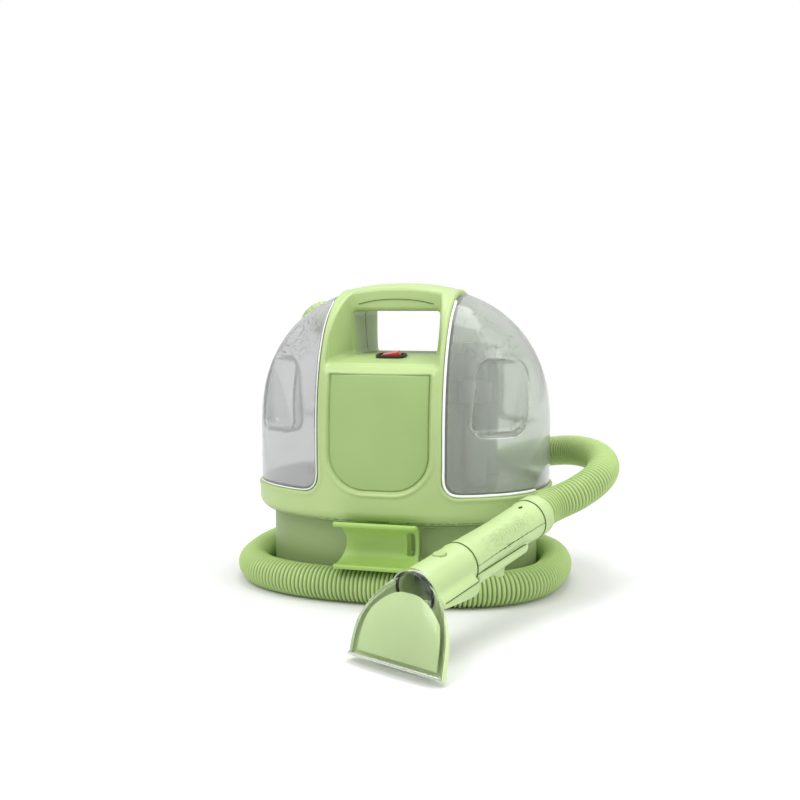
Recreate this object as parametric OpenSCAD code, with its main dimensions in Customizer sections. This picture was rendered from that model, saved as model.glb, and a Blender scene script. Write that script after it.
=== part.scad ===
// Portable spot extractor: a domed two-tank body with a hose wrapped round its base
// and a spray wand with a clear-fronted suction nozzle.
// +X is the side of the recovery tank, the front faces -Y, +Z is up, z = 0 is the floor.

/* [Body] */
// Overall width of the domed body
body_w = 290; // [270:5:310]
// Overall depth of the domed body
body_d = 210; // [200:2:220]
// Overall height to the top of the carry handle
body_h = 290; // [286:1:294]
// Height where the straight sides turn into the dome
dome_z = 150; // [146:1:154]
// Roundness of the plan and of the dome (2 is an ellipse)
dome_p = 2.3; // [2.1:0.1:2.6]
// Wall thickness of the moulded housings
wall = 3; // [2.4:0.2:3.4]

/* [Base] */
// Height of the hose drum under the tray
drum_h = 70; // [68:1:72]
// Height of the tray deck that the tanks stand on
deck_z = 97; // [95:1:99]
// Outside radius of the motor can
motor_r = 31; // [28:1:33]

/* [Tanks] */
// Half width of the tower between the two tanks
tower_x = 58; // [56:1:60]
// Wall thickness of the clear tanks
tank_wall = 2.5; // [2:0.1:3]
// How deep the finger recesses go
grip_depth = 12; // [8:1:14]

/* [Handle] */
// Half width of the gap under the carry handle
gap_x = 43; // [40:1:46]
// Height of the underside of the carry handle
gap_top = 263; // [260:1:266]

/* [Hose and wand] */
// Outside diameter of the corrugated hose
hose_d = 31; // [30:0.5:32]
// Outside radius of the wand
wand_r = 17.5; // [17:0.25:18]
// Width of the nozzle's mouth
mouth_w = 91; // [84:1:94]

/* [Hidden] */

green = [0.72, 0.86, 0.53];
deep_green = [0.56, 0.74, 0.33];
black = [0.07, 0.07, 0.07];
grey = [0.55, 0.56, 0.57];
smoke = [0.62, 0.66, 0.64, 0.5];
clear = [0.85, 0.9, 0.9, 0.4];
red = [0.86, 0.16, 0.14];

hw = body_w / 2;
hd = body_d / 2;
dome_h = body_h - dome_z;
ring_n = 44;
air = 0.3;                    // gap between separate bodies
tank_x = tower_x + 2;         // inner side of the tank shells
tank_inset = 2;               // how far the tanks lie back from the body's surface
plate_t = 3;                  // base plate thickness
deck_t = 3;                   // tray deck thickness
drum_x = 131;                 // half width of the drum
drum_y = 90;                  // half depth of the drum
split_y = 8;                  // parting plane of the two tower shells
shelf_z = 222;                // floor of the gap under the handle
rim_x = 53;                   // inner edge of the tower's side rims
arch_front = -36;             // front face of the handle's arch
arch_rear = 54;               // rear face of the handle's arch
axis_y = 12;                  // motor axis
fan_r = 46;                   // fan housing
pump_at = [-88, -4, 34];      // middle of the pump, which lies along Y
valve_at = [-92, 6];          // clean tank's valve
inlet_at = [76, 34];          // recovery tank's inlet
suction_at = [76, -34];       // recovery tank's suction port
cap_at = [-99, 34, 254.4];    // where the fill neck leaves the dome
cap_tilt = 44;
cap_turn = 152.4;
gland_z = 118;                // cord gland height
gland_r = 4;                  // cord gland bore
button_at = [0, -52, 220];
button_tilt = 7.8;

// ---------- rounded forms ----------

// A signed power, so that superellipses close round all four quarters
function spow(v, e) = sign(v) * pow(abs(v), e);

// One superellipse ring in plan
function ring(a, b, z, n = ring_n, p = dome_p) =
    [for (i = [0:n - 1]) let (t = 360 * (i + 0.5) / n)
        [a * spow(cos(t), 2 / p), b * spow(sin(t), 2 / p), z]];

// Plan outline as flat points, for an exact extrusion
function plan(a, b, n = ring_n) = [for (q = ring(a, b, 0, n)) [q[0], q[1]]];

// Closed solid through a list of rings of equal length
module stack(rings) {
    n = len(rings[0]);
    m = len(rings);
    polyhedron(
        points = [for (r = rings) for (q = r) q],
        faces = concat(
            [[for (i = [0:n - 1]) i]],
            [[for (i = [0:n - 1]) m * n - 1 - i]],
            [for (j = [0:m - 2]) for (i = [0:n - 1])
                [j * n + i, (j + 1) * n + i, (j + 1) * n + (i + 1) % n, j * n + (i + 1) % n]]
        ),
        convexity = 6
    );
}

// Closed shell between an outer and an inner stack of rings that go all the way round
module tube_shell(outer, inner) {
    n = len(outer[0]);
    m = len(outer);
    k = n * m;
    polyhedron(
        points = concat([for (r = outer) for (q = r) q], [for (r = inner) for (q = r) q]),
        faces = concat(
            [for (j = [0:m - 2]) for (i = [0:n - 1]) let (e = (i + 1) % n)
                [j * n + i, (j + 1) * n + i, (j + 1) * n + e, j * n + e]],
            [for (j = [0:m - 2]) for (i = [0:n - 1]) let (e = (i + 1) % n)
                [k + j * n + e, k + (j + 1) * n + e, k + (j + 1) * n + i, k + j * n + i]],
            [for (i = [0:n - 1]) let (e = (i + 1) % n) [i, e, k + e, k + i]],
            [for (i = [0:n - 1]) let (e = (i + 1) % n, b = (m - 1) * n)
                [b + e, b + i, k + b + i, k + b + e]]
        ),
        convexity = 8
    );
}

// Closed curved plate between an outer and an inner grid with four free edges
module plate_shell(outer, inner) {
    n = len(outer[0]);
    m = len(outer);
    k = n * m;
    b = (m - 1) * n;
    polyhedron(
        points = concat([for (r = outer) for (q = r) q], [for (r = inner) for (q = r) q]),
        faces = concat(
            [for (j = [0:m - 2]) for (i = [0:n - 2])
                [j * n + i, (j + 1) * n + i, (j + 1) * n + i + 1, j * n + i + 1]],
            [for (j = [0:m - 2]) for (i = [0:n - 2])
                [k + j * n + i + 1, k + (j + 1) * n + i + 1, k + (j + 1) * n + i, k + j * n + i]],
            [for (i = [0:n - 2]) [i, i + 1, k + i + 1, k + i]],
            [for (i = [0:n - 2]) [b + i + 1, b + i, k + b + i, k + b + i + 1]],
            [for (j = [0:m - 2]) let (s = j * n, e = (j + 1) * n) [e, s, k + s, k + e]],
            [for (j = [0:m - 2]) let (s = j * n + n - 1, e = s + n) [s, e, k + e, k + s]]
        ),
        convexity = 8
    );
}

// The domed body, drawn in by off all over, from height z_low up
module dome(off, z_low) {
    rise = dome_h - off;
    levels = [for (f = [0:9:81]) f];
    stack(concat(
        [ring(hw - off, hd - off, z_low)],
        [for (f = concat(levels, [86, 89.7])) let (k = pow(cos(f), 2 / dome_p))
            ring((hw - off) * k, (hd - off) * k, dome_z + rise * pow(sin(f), 2 / dome_p))]
    ));
}

// Half depth of the dome, drawn in by off, at a given x and z
function dome_y(x, z, off = 0) =
    let (u = pow(abs(x) / (hw - off), dome_p) + pow(max(0, z - dome_z) / (dome_h - off), dome_p))
    (hd - off) * pow(max(0, 1 - u), 1 / dome_p);

module slab(size, at) {
    translate(at) cube(size, center = true);
}

module rounded_rect(w, h, r) {
    hull()
        for (x = [-1, 1], y = [-1, 1])
            translate([x * (w / 2 - r), y * (h / 2 - r)]) circle(r, $fn = 24);
}

// ---------- base ----------

module screw(d, h) {
    cylinder(d = d, h = h, $fn = 24);
    cylinder(d = 2 * d, h = 1.6, $fn = 24);
}

screw_ring = [[-100, -40], [-100, 40], [100, -40], [100, 40], [-40, -72], [40, -72]];
pad_at = [[-88, -52], [88, -52], [-88, 52], [88, 52]];
fan_posts = [[-34, -16], [-24, 50], [30, 46]];

module base_plate() color(green) difference() {
    union() {
        linear_extrude(plate_t) polygon(plan(drum_x - wall - 0.2, drum_y - wall - 0.2));
        for (q = screw_ring) translate([q[0], q[1], 0]) cylinder(r = 6, h = 12, $fn = 32);
        for (q = fan_posts) translate([q[0], q[1], 0]) cylinder(r = 5, h = 22.2, $fn = 32);
    }
    for (q = screw_ring) translate([q[0], q[1], -1]) {
        cylinder(d = 4, h = 20, $fn = 24);
        cylinder(d = 8.4, h = 3.2, $fn = 24);
    }
    for (q = pad_at) translate([q[0], q[1], -1]) cylinder(r = 10, h = 2.6, $fn = 40);
    for (i = [0:4]) slab([44, 3, 20], [-62, -34 - 7 * i, 0]);
}

module foot_pads() color(black)
    for (q = pad_at) translate([q[0], q[1], 0]) cylinder(r = 9.9, h = 1.6, $fn = 40);

module base_screws() color(grey)
    for (q = screw_ring) translate([q[0], q[1], 0.6]) screw(3.9, 13);

module hose_drum() color(green) difference() {
    linear_extrude(drum_h) polygon(plan(drum_x, drum_y));
    translate([0, 0, -1]) linear_extrude(drum_h + 2)
        polygon(plan(drum_x - wall, drum_y - wall));
    // opening for the hose port
    slab([34, 30, 30], [25, drum_y, 16.2]);
}

// Deck that the tanks stand on, with the screw posts that hang from it
module tank_tray() color(green) difference() {
    union() {
        translate([0, 0, deck_z - deck_t]) linear_extrude(deck_t)
            polygon(plan(hw - wall - 0.1, hd - wall - 0.1));
        for (q = screw_ring) translate([q[0], q[1], 13.6])
            cylinder(r = 5, h = deck_z - 13.6 - 1, $fn = 32);
    }
    for (q = screw_ring) translate([q[0], q[1], 10]) cylinder(d = 4, h = 12, $fn = 24);
    // middle opening for the motor, floor ports for the two tanks
    translate([0, axis_y, 60]) cylinder(r = motor_r + 7, h = 60, $fn = 64);
    translate([valve_at[0], valve_at[1], 60]) cylinder(r = 12, h = 60, $fn = 48);
    translate([inlet_at[0], inlet_at[1], 60]) cylinder(r = 14, h = 60, $fn = 48);
    translate([suction_at[0], suction_at[1], 60]) cylinder(r = 14, h = 60, $fn = 48);
    translate([0, -60, 60]) cylinder(r = 8, h = 60, $fn = 32);
}

// ---------- tower ----------

// Plan of the scoops in front of and behind the arch, between the two side rims
function scoop_plan(s, y_arch) = [[-rim_x, s * 130], [-rim_x, s * 78], [-gap_x, y_arch],
    [gap_x, y_arch], [rim_x, s * 78], [rim_x, s * 130]];

// Side view of everything above the shelf, which slopes down towards one end
function above_shelf(s, g) = [[s * 200, 206 - g], [s * 98, 206 - g], [s * 92, 212 - g],
    [s * 84, 216 - g], [s * 40, 222 - g], [s * 20, 222 - g], [s * 20, 320], [s * 200, 320]];

// Front and rear scoops that leave the arch standing over the shelf
module shelf_cut(off) {
    for (q = [[-1, arch_front], [1, arch_rear]]) intersection() {
        translate([-200, 0, 0]) rotate([90, 0, 90]) linear_extrude(400)
            polygon(above_shelf(q[0], off));
        linear_extrude(400) offset(delta = off) polygon(scoop_plan(q[0], q[1]));
    }
}

module handle_gap(off) {
    h = gap_top - shelf_z + 2 * off;
    translate([0, 150, (gap_top + shelf_z) / 2]) rotate([90, 0, 0]) linear_extrude(300)
        rounded_rect(2 * (gap_x + off), h, 13 + off);
}

// Tower with the skirt under it, drawn in by off all over
module tower_solid(off) {
    difference() {
        intersection() {
            dome(off, drum_h + off);
            union() {
                slab([2 * (tower_x - off), 400, 600], [0, 0, 100]);
                slab([400, 400, 2 * deck_z], [0, 0, 0]);
            }
        }
        shelf_cut(off);
        handle_gap(off);
    }
}

// One thin moulding, open over the tray and at the bottom
module tower_shell() difference() {
    tower_solid(0);
    tower_solid(wall);
    translate([0, 0, drum_h - 1]) linear_extrude(wall + 2)
        polygon(plan(drum_x - 8, drum_y - 8));
}

panel_w = 92;
panel_low = 103;
panel_high = 205;

module panel_outline(grow) translate([0, (panel_low + panel_high) / 2]) union() {
    rounded_rect(panel_w + 2 * grow, panel_high - panel_low + 2 * grow, 32 + grow);
    translate([0, 20]) square([panel_w + 2 * grow, 62 + 2 * grow], center = true);
}

// Front skin between two depths, cut to the panel's outline
module panel_skin(off_out, off_in, grow) intersection() {
    difference() {
        dome(off_out, 98);
        dome(off_in, 90);
    }
    rotate([90, 0, 0]) linear_extrude(200) panel_outline(grow);
}

module button_frame() translate(button_at) rotate([button_tilt, 0, 0]) children();

module front_shell() color(green) resize([0, 0, 0]) difference() {
    intersection() {
        tower_shell();
        slab([400, 400, 600], [0, split_y - 200, 200]);
    }
    panel_skin(-5, 2.4, 0.2);
    button_frame() slab([26, 18, 30], [0, 0, 0]);
}

module rear_shell() color(green) resize([0, 0, 0]) difference() {
    intersection() {
        tower_shell();
        slab([400, 400, 600], [0, split_y + 200, 200]);
    }
    slab([70, 60, 34], [0, 100, 176]);
    translate([0, 130, gland_z]) rotate([90, 0, 0]) cylinder(r = 8, h = 60, $fn = 32);
}

module shell_screws() color(grey)
    for (x = [-50, 50], z = [112, 192])
        translate([x, dome_y(x, z) - wall - 15, z]) rotate([90, 0, 0])
            cylinder(d = 4, h = 14, $fn = 24);

module front_panel() color(green) resize([0, 0, 0]) panel_skin(0.8, 2.3, 0);

module exhaust_grille() color(green) {
    y = 100.5;
    difference() {
        slab([69.6, 5, 33.6], [0, y, 176]);
        for (i = [-3:3]) slab([60, 20, 2.6], [0, y, 176 + 4.4 * i]);
    }
}

module cord_gland() color(black) translate([0, 0, gland_z]) rotate([-90, 0, 0]) difference() {
    union() {
        translate([0, 0, 84]) cylinder(r = 7.8, h = 26, $fn = 48);
        translate([0, 0, hd]) cylinder(r = 11, h = 3, $fn = 48);
    }
    translate([0, 0, 80]) cylinder(r = gland_r, h = 40, $fn = 48);
}

// Upper and lower horns that a mains cord is wound round
module cord_wrap() color(green) {
    for (s = [-1, 1]) translate([0, dome_y(0, 176 + s * 26), 176 + s * 26]) {
        slab([30, 13, 6], [0, 6.4, 0]);
        slab([30, 4, 16], [0, 14.8, s * 5]);
    }
}

// ---------- front tool clip ----------

clip_r = 20.5;                // outside radius of the C-shaped cradle
clip_at = [3, -124, 55];      // middle of its open side

module tool_clip() color(deep_green) difference() {
    union() {
        translate(clip_at) rotate([0, 90, 0]) cylinder(r = clip_r, h = 76, center = true, $fn = 64);
        slab([56, 16, 22], [clip_at[0], -drum_y - 7.9, 54]);
    }
    translate(clip_at) rotate([0, 90, 0])
        cylinder(r = clip_r - wall, h = 90, center = true, $fn = 64);
    slab([90, 40, 60], [clip_at[0], clip_at[1] - 20, clip_at[2]]);
    slab([8, 40, 20], [31, -104, 56]);
}

// ---------- switch ----------

module button_bezel() color(black) button_frame() difference() {
    union() {
        slab([25.6, 17.6, 6], [0, 0, -2]);
        translate([0, 0, 0.6]) linear_extrude(2) rounded_rect(29, 20, 8);
    }
    slab([22.4, 13, 20], [0, 0, 0]);
}

module switch_body() color(black) button_frame() difference() {
    slab([25, 17, 16], [0, 0, -13]);
    slab([21.4, 12.4, 14], [0, 0, -7.4]);
    translate([0, 7.6, -7.4]) rotate([90, 0, 0]) cylinder(r = 2.05, h = 15.2, $fn = 32);
}

module power_rocker() color(red) button_frame() {
    difference() {
        translate([0, 5.8, -1]) rotate([90, 0, 0]) cylinder(r = 9.4, h = 11.6, $fn = 64);
        slab([40, 40, 20], [0, 0, -11.5]);
        rotate([0, -10, 0]) slab([40, 40, 20], [0, 0, 14.2]);
    }
    slab([8, 11.6, 8], [0, 0, -4.9]);
    translate([0, 7.4, -7.4]) rotate([90, 0, 0]) cylinder(r = 2, h = 14.8, $fn = 32);
}

// ---------- motor, fan, pump ----------

module at_motor() translate([0, axis_y, 0]) children();

module fan_housing() color(grey) at_motor() difference() {
    union() {
        translate([0, 0, 22.2]) cylinder(r = fan_r, h = 26, $fn = 64);
        slab([20, 24, 18], [fan_r, -6, 35]);
    }
    translate([0, 0, 25]) cylinder(r = fan_r - 3, h = 20.4, $fn = 64);
    translate([0, 0, 20]) cylinder(r = 14, h = 10, $fn = 48);
    translate([0, 0, 40]) cylinder(r = 8, h = 20, $fn = 48);
    slab([40, 18, 12], [fan_r + 4, -6, 35]);
}

module motor_mount() color(black) at_motor() translate([0, 0, 48.2]) difference() {
    cylinder(r = motor_r, h = 5.8, $fn = 64);
    translate([0, 0, -1]) cylinder(r = motor_r - 9, h = 10, $fn = 64);
}

module motor_can() color(grey) at_motor() translate([0, 0, 54]) difference() {
    cylinder(r = motor_r, h = 74, $fn = 64);
    translate([0, 0, 2]) cylinder(r = motor_r - 2, h = 70, $fn = 64);
    translate([0, 0, -1]) cylinder(r = 8, h = 80, $fn = 48);
    for (a = [0:45:315]) rotate(a) slab([14, 7, 16], [motor_r, 0, 14]);
}

module motor_bearings() color(grey) at_motor()
    for (z = [54.2, 121]) translate([0, 0, z]) difference() {
        cylinder(r = 7.96, h = 6, $fn = 48);
        translate([0, 0, -1]) cylinder(r = 3.04, h = 8, $fn = 48);
    }

module motor_shaft() color(grey) at_motor() {
    translate([0, 0, 26]) cylinder(r = 3, h = 104, $fn = 48);
    translate([0, 0, 66]) cylinder(r = 22, h = 44, $fn = 48);
}

module impeller() color(grey) at_motor() difference() {
    union() {
        translate([0, 0, 27]) cylinder(r = 40, h = 2, $fn = 64);
        translate([0, 0, 27]) cylinder(r = 8, h = 12, $fn = 48);
        for (a = [0:40:320]) rotate(a) slab([30, 2, 9], [23.5, 0, 33.4]);
    }
    translate([0, 0, 20]) cylinder(r = 3, h = 30, $fn = 48);
}

module at_pump() translate(pump_at) rotate([-90, 0, 0]) children();

module pump_body() color(black) at_pump() difference() {
    union() {
        translate([0, 0, -26]) cylinder(r = 14, h = 52, $fn = 48);
        translate([0, 0, -36]) cylinder(r = 4, h = 12, $fn = 32);
        translate([0, 0, 24]) cylinder(r = 4, h = 12, $fn = 32);
    }
    translate([0, 0, -22]) cylinder(r = 6, h = 44, $fn = 48);
    translate([0, 0, -40]) cylinder(r = 2, h = 80, $fn = 24);
}

module pump_plunger() color(grey) at_pump()
    translate([0, 0, -6]) difference() {
        cylinder(r = 5.94, h = 22, $fn = 48);
        translate([0, 0, -1]) cylinder(r = 2, h = 30, $fn = 24);
    }

// Helical spring, wound with a constant pitch
module helix(r_mid, wire, h, turns) {
    steps = turns * 12;
    rings = [for (i = [0:steps]) let (a = 360 * turns * i / steps, z = h * i / steps)
        [for (k = [0:5]) let (c = r_mid + wire * cos(60 * k))
            [c * cos(a), c * sin(a), z + wire * sin(60 * k)]]];
    stack([for (i = [steps:-1:0]) rings[i]]);
}

module pump_spring() color(grey) at_pump() translate([0, 0, -21.3]) helix(4, 0.5, 14.6, 4);

// ---------- swept lines ----------

function unit(v) = v / norm(v);

// Catmull-Rom point between the second and third of four points
function curve_at(a, b, c, d, t) =
    0.5 * ((2 * b) + (c - a) * t + (2 * a - 5 * b + 4 * c - d) * t * t
        + (3 * b - a - 3 * c + d) * t * t * t);

function smooth(path, steps) = let (m = len(path) - 1) concat(
    [for (i = [0:m - 1]) for (s = [0:steps - 1])
        curve_at(path[max(0, i - 1)], path[i], path[i + 1], path[min(m, i + 2)], s / steps)],
    [path[m]]);

// Rings of n points square to the path; the path never runs along ref
function sweep_rings(path, r, n, ref = [0, 0, 1]) = let (m = len(path) - 1)
    [for (i = [0:m]) let (
        t = unit(path[min(m, i + 1)] - path[max(0, i - 1)]),
        side = unit(cross(t, ref)),
        up = cross(side, t))
        [for (k = [0:n - 1]) path[i] + r * (cos(360 * k / n) * side - sin(360 * k / n) * up)]];

module water_line() color(clear) {
    line = smooth([[-88, 32, 34], [-84, 44, 33], [-70, 56, 29], [-42, 68, 22],
        [-12, 76, 18], [8.4, 80, 18]], 3);
    stack(sweep_rings(line, 3, 8));
}

module supply_line() color(clear) {
    line = smooth([[-92, -16, 74], [-92, -30, 72], [-90, -48, 64], [-88, -54, 50],
        [-88, -50, 38], [-88, -40, 34]], 3);
    stack(sweep_rings(line, 3, 8, [1, 0, 0]));
}

// Route of the hose: once round the drum on the floor, up behind it and over to the wand
hose_route = [
    [42, 106, 15.6], [58, 106, 15.6], [80, 102, 15.6], [112, 86, 15.6], [137, 58, 15.6],
    [148, 25, 15.6], [149, -8, 15.6], [142, -48, 15.6], [121, -79, 15.6], [88, -98, 15.6],
    [48, -107, 15.6], [0, -109, 15.6], [-48, -107, 15.6], [-88, -98, 15.6],
    [-121, -79, 15.6], [-142, -48, 15.6], [-149, -8, 15.6], [-148, 28, 16],
    [-134, 66, 19], [-106, 96, 26], [-70, 116, 37], [-30, 126, 52], [10, 129, 68],
    [50, 127, 86], [90, 120, 101], [126, 108, 112], [158, 88, 118], [182, 58, 118],
    [193, 24, 113], [189, -12, 105.5], [172, -42, 96], [151.8, -66.1, 88.9],
    [142.34, -85.66, 84.89]
];

module flex_hose() color(green) {
    line = smooth(hose_route, 2);
    tube_shell(sweep_rings(line, hose_d / 2, 12), sweep_rings(line, hose_d / 2 - 2, 12));
}

module hose_port() color(green) difference() {
    union() {
        slab([33, 31, 29], [25, 106, 16.1]);
        slab([33, 17, 27.5], [25, 82.4, 16.85]);
    }
    translate([12, 106, 15.6]) rotate([0, 90, 0]) cylinder(r = 12, h = 40, $fn = 48);
    translate([24, 110, 15.6]) rotate([90, 0, 0]) cylinder(r = 11, h = 50, $fn = 48);
}

// Duct from the recovery tank's suction port down and under the fan to its eye
module intake_duct() color(grey) difference() {
    union() {
        translate([suction_at[0], suction_at[1], 6]) cylinder(r = 13.6, h = 87.9, $fn = 48);
        translate([suction_at[0], suction_at[1], 90.9]) cylinder(r = 17, h = 3, $fn = 48);
        translate([0, 0, 6]) linear_extrude(16) polygon([[-16, -2], [-16, 28], [16, 28],
            [86, -24], [70, -47]]);
    }
    translate([suction_at[0], suction_at[1], 8]) cylinder(r = 10, h = 100, $fn = 48);
    translate([0, 0, 8]) linear_extrude(12) polygon([[-14, 0], [-14, 26], [15, 26],
        [80, -22], [70, -43]]);
    translate([0, axis_y, 8]) cylinder(r = 13, h = 20, $fn = 48);
}

// Duct from the hose port up into the recovery tank's inlet
module inlet_duct() color(grey) {
    line = smooth([[25, 73.9, 16], [32, 66, 16], [48, 58, 18], [62, 48, 22], [66, 44, 23]], 2);
    tube_shell(sweep_rings(line, 9, 12), sweep_rings(line, 7, 12));
    translate([inlet_at[0], inlet_at[1], 0]) difference() {
        union() {
            translate([0, 0, 10]) cylinder(r = 13.6, h = 83.9, $fn = 48);
            translate([0, 0, 90.9]) cylinder(r = 17, h = 3, $fn = 48);
        }
        translate([0, 0, 13]) cylinder(r = 10, h = 100, $fn = 48);
    }
}

module valve_socket() color(grey) translate([valve_at[0], valve_at[1], 70]) difference() {
    union() {
        cylinder(r = 12, h = 24, $fn = 48);
        translate([0, 0, 21]) cylinder(r = 16, h = 3, $fn = 48);
        translate([0, -10, 4]) rotate([90, 0, 0]) cylinder(r = 3.6, h = 12, $fn = 24);
    }
    translate([0, 0, 8]) cylinder(r = 9.2, h = 30, $fn = 48);
    translate([0, 0, 2]) cylinder(r = 3, h = 20, $fn = 24);
    translate([0, 0, 4]) rotate([90, 0, 0]) cylinder(r = 1.8, h = 40, $fn = 24);
}

module dock_seals() color(black)
    for (q = [suction_at, inlet_at]) translate([q[0], q[1], 93.9]) difference() {
        cylinder(r = 13.6, h = 3.1, $fn = 48);
        translate([0, 0, -1]) cylinder(r = 10, h = 8, $fn = 48);
    }

// ---------- tanks ----------

tank_z = deck_z + air;

// Finger recess on the front and rear quarter of a tank, grown by off
module grip_recess(off) {
    for (s = [-1, 1]) translate([109, s * 67, 185]) rotate(s * 49) {
        slab([2 * (grip_depth + off), 58 + 2 * off, 64 + 2 * off], [0, 0, 0]);
    }
}

// Right-hand tank volume; its flat side is closed by a wall plate
module tank_volume(off, side_off) {
    low = tank_z + off;
    difference() {
        intersection() {
            dome(tank_inset + off, low);
            slab([200, 400, 600], [tank_x + 100 + side_off, 0, low + 300]);
        }
        grip_recess(off);
    }
}

module tank_shell() difference() {
    tank_volume(0, 0);
    tank_volume(tank_wall, -1);
}

// Outline of a tank's open side, as a flat plate
function side_point(x, z) = [dome_y(x, z, tank_inset), z];
function side_outline(x) =
    let (rise = (dome_h - tank_inset) * pow(1 - pow(x / (hw - tank_inset), dome_p), 1 / dome_p),
        edge = [for (f = [0:6:90]) side_point(x, dome_z + rise * sin(f))])
    concat(
        [[-edge[0][0], tank_z], [edge[0][0], tank_z]],
        edge,
        [for (i = [len(edge) - 2:-1:0]) [-edge[i][0], edge[i][1]]]
    );

module wall_plate() translate([tank_x - 1.6, 0, 0]) rotate([90, 0, 90]) linear_extrude(1.6)
    polygon(side_outline(tank_x));

module fill_axis() translate(cap_at) rotate([0, cap_tilt, cap_turn]) children();

module clean_tank_shell() color(smoke) resize([0, 0, 0]) difference() {
    mirror([1, 0, 0]) tank_shell();
    fill_axis() cylinder(r = 14, h = 60, center = true, $fn = 48);
    translate([valve_at[0], valve_at[1], 90]) cylinder(r = 8.6, h = 20, $fn = 48);
}

module clean_tank_wall() color(smoke) mirror([1, 0, 0]) wall_plate();

module fill_neck() color(green) fill_axis() difference() {
    translate([0, 0, -10]) cylinder(r = 13.9, h = 14, $fn = 48);
    translate([0, 0, -11]) cylinder(r = 11.5, h = 30, $fn = 48);
}

module fill_cap() color(green) fill_axis() difference() {
    translate([0, 0, 1.5]) cylinder(r = 17, h = 8, $fn = 48);
    cylinder(r = 14.2, h = 7, $fn = 48);
    for (a = [0:30:330]) rotate(a) slab([2, 3, 20], [17.6, 0, 6]);
}

module fill_cap_gasket() color(black) fill_axis() translate([0, 0, 4.3]) difference() {
    cylinder(r = 13.6, h = 2.7, $fn = 48);
    translate([0, 0, -1]) cylinder(r = 10, h = 5, $fn = 48);
}

module at_valve(z) translate([valve_at[0], valve_at[1], z]) children();

module clean_valve_body() color(grey) at_valve(80) difference() {
    union() {
        cylinder(r = 8.5, h = 26, $fn = 48);
        translate([0, 0, 20.2]) cylinder(r = 12, h = 2, $fn = 48);
    }
    translate([0, 0, 2]) cylinder(r = 6, h = 40, $fn = 48);
    translate([0, 0, -1]) cylinder(r = 2.6, h = 10, $fn = 32);
}

module clean_valve_stem() color(black) at_valve(0) {
    translate([0, 0, 79]) cylinder(r = 2.5, h = 25, $fn = 32);
    translate([0, 0, 86]) cylinder(r = 5.5, h = 2, $fn = 48);
}

module clean_valve_spring() color(grey) at_valve(89) helix(4, 0.5, 12, 4);

module dirty_tank_shell() color(smoke) resize([0, 0, 0]) difference() {
    tank_shell();
    for (q = [suction_at, inlet_at])
        translate([q[0], q[1], 90]) cylinder(r = 11.6, h = 20, $fn = 48);
}

module dirty_tank_wall() color(smoke) wall_plate();

module inlet_stack() color(smoke) translate([inlet_at[0], inlet_at[1], 0]) difference() {
    union() {
        translate([0, 0, tank_z]) cylinder(r = 11.5, h = 132, $fn = 48);
        translate([0, 0, tank_z + tank_wall + 0.2]) cylinder(r = 13.5, h = 2, $fn = 48);
    }
    translate([0, 0, 90]) cylinder(r = 9.5, h = 132, $fn = 48);
    slab([40, 14, 16], [12, 0, 214]);
}

module suction_stack() color(smoke) translate([suction_at[0], suction_at[1], 0]) difference() {
    union() {
        translate([0, 0, tank_z]) cylinder(r = 11.5, h = 136, $fn = 48);
        translate([0, 0, tank_z + tank_wall + 0.2]) cylinder(r = 13.5, h = 2, $fn = 48);
        translate([0, 0, 176]) cylinder(r = 15, h = 2, $fn = 48);
        translate([0, 0, 222]) cylinder(r = 15, h = 2, $fn = 48);
    }
    translate([0, 0, 90]) cylinder(r = 9.5, h = 160, $fn = 48);
}

module float() color(red) translate([suction_at[0], suction_at[1], 178.4]) difference() {
    cylinder(r = 15, h = 20, $fn = 48);
    translate([0, 0, -1]) cylinder(r = 11.9, h = 30, $fn = 48);
}

// ---------- wand ----------

neck = [67.7, -245, 52.6];
wand_heading = 64.9;
wand_rise = 10.4;
wand_len = 178;
socket_len = 60;
cuff_x = 163;
wall_wand = 2.2;

// Local frame: +X runs up the wand from the nozzle's neck to the hose
module wand_frame() translate(neck) rotate([0, -wand_rise, wand_heading]) children();

module tube_x(r_out, r_in, x0, x1) translate([x0, 0, 0]) rotate([0, 90, 0]) difference() {
    cylinder(r = r_out, h = x1 - x0, $fn = 64);
    translate([0, 0, -1]) cylinder(r = r_in, h = x1 - x0 + 2, $fn = 64);
}

pivot = [84, -13];            // trigger pin in the wand's x and z
button_x = 36;                // latch button on the nozzle's socket

module wand_tube() difference() {
    union() {
        tube_x(wand_r, wand_r - wall_wand, socket_len + air, cuff_x);
        tube_x(wand_r - 4, wand_r - 6, socket_len - 16, socket_len + 8);
        tube_x(wand_r - wall_wand + 0.5, wand_r - 6, socket_len + 2, socket_len + 6);
    }
    slab([44, 11, 14], [pivot[0] + 16, 0, -17]);
}

module wand_upper_shell() color(green) wand_frame() intersection() {
    wand_tube();
    slab([400, 60, 60], [100, 0, 30.05]);
}

module wand_lower_shell() color(green) wand_frame() difference() {
    intersection() {
        wand_tube();
        slab([400, 60, 60], [100, 0, -30.05]);
    }
    translate([pivot[0], 30, pivot[1]]) rotate([90, 0, 0]) cylinder(r = 1.6, h = 60, $fn = 32);
}

module hose_cuff() color(green) wand_frame() difference() {
    union() {
        tube_x(wand_r, 12.6, cuff_x + 0.1, wand_len);
        tube_x(wand_r - wall_wand - 0.05, 12.6, cuff_x - 8, cuff_x + 0.1);
    }
}

module wand_screws() color(grey) wand_frame()
    for (x = [112, 150], s = [-1, 1]) translate([x, s * 12.6, -6]) cylinder(d = 2.4, h = 11, $fn = 24);

module spray_valve() color(black) wand_frame() difference() {
    translate([120, 0, -9]) rotate([0, 90, 0]) cylinder(r = 5, h = 30, $fn = 48);
    translate([116, 0, -9]) rotate([0, 90, 0]) cylinder(r = 2, h = 40, $fn = 32);
}

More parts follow.
